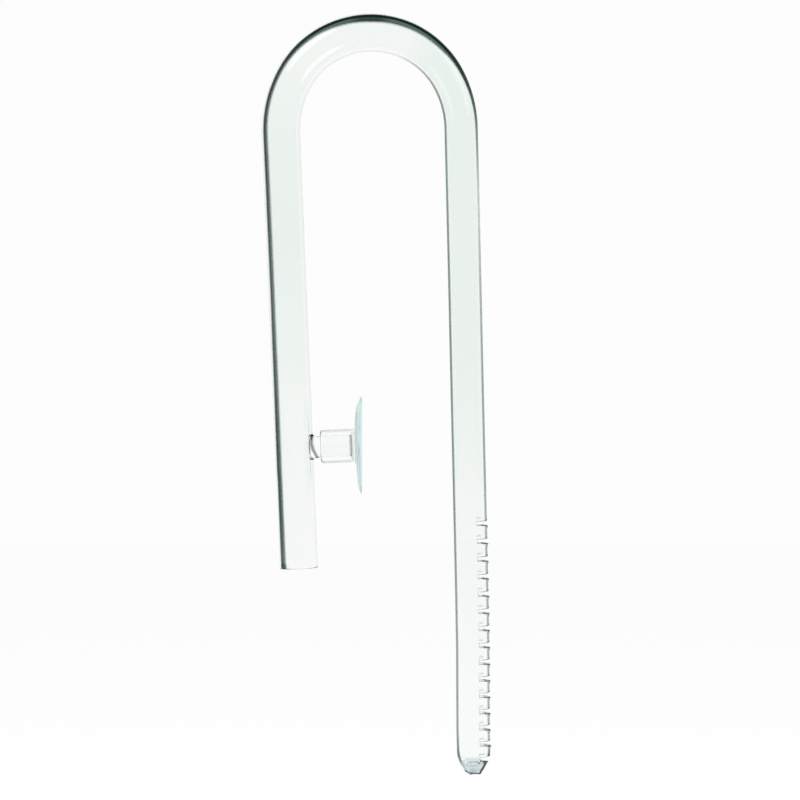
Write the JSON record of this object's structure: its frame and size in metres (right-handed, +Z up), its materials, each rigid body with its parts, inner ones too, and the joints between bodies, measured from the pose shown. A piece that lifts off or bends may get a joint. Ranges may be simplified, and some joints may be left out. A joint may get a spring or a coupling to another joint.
{
  "type": "aquarium glass intake pipe",
  "caption": "Glass intake pipe hung over an aquarium's rim: a bent tube with a slotted strainer, and a suction cup that holds it to the wall.",
  "frame": {"origin": "centre of the suction cup's contact face, on the outside of the tank's wall", "axes": "+X through the wall into the tank, +Z up, +Y across the pipe's plane of bending"},
  "size_m": [0.0785, 0.0332, 0.2605],
  "materials": {
    "clear_glass": "gloss",
    "soft_clear": "satin"
  },
  "bodies": {
    "glass_pipe": {"outer_leg": "clear_glass", "outer_shoulder": "clear_glass", "crown_outer": "clear_glass", "crown_inner": "clear_glass", "inner_shoulder": "clear_glass", "inner_leg": "clear_glass", "strainer": "clear_glass", "sealed_tip": "clear_glass", "holder_peg": "clear_glass"},
    "suction_cup": {"suction_cup": "soft_clear"}
  },
  "joints": [
    {"name": "cup_on_peg", "type": "slide", "parent": "glass_pipe", "child": "suction_cup", "axis": [0.9991, 0, 0.0419], "range_m": [0, 0.011]}
  ]
}
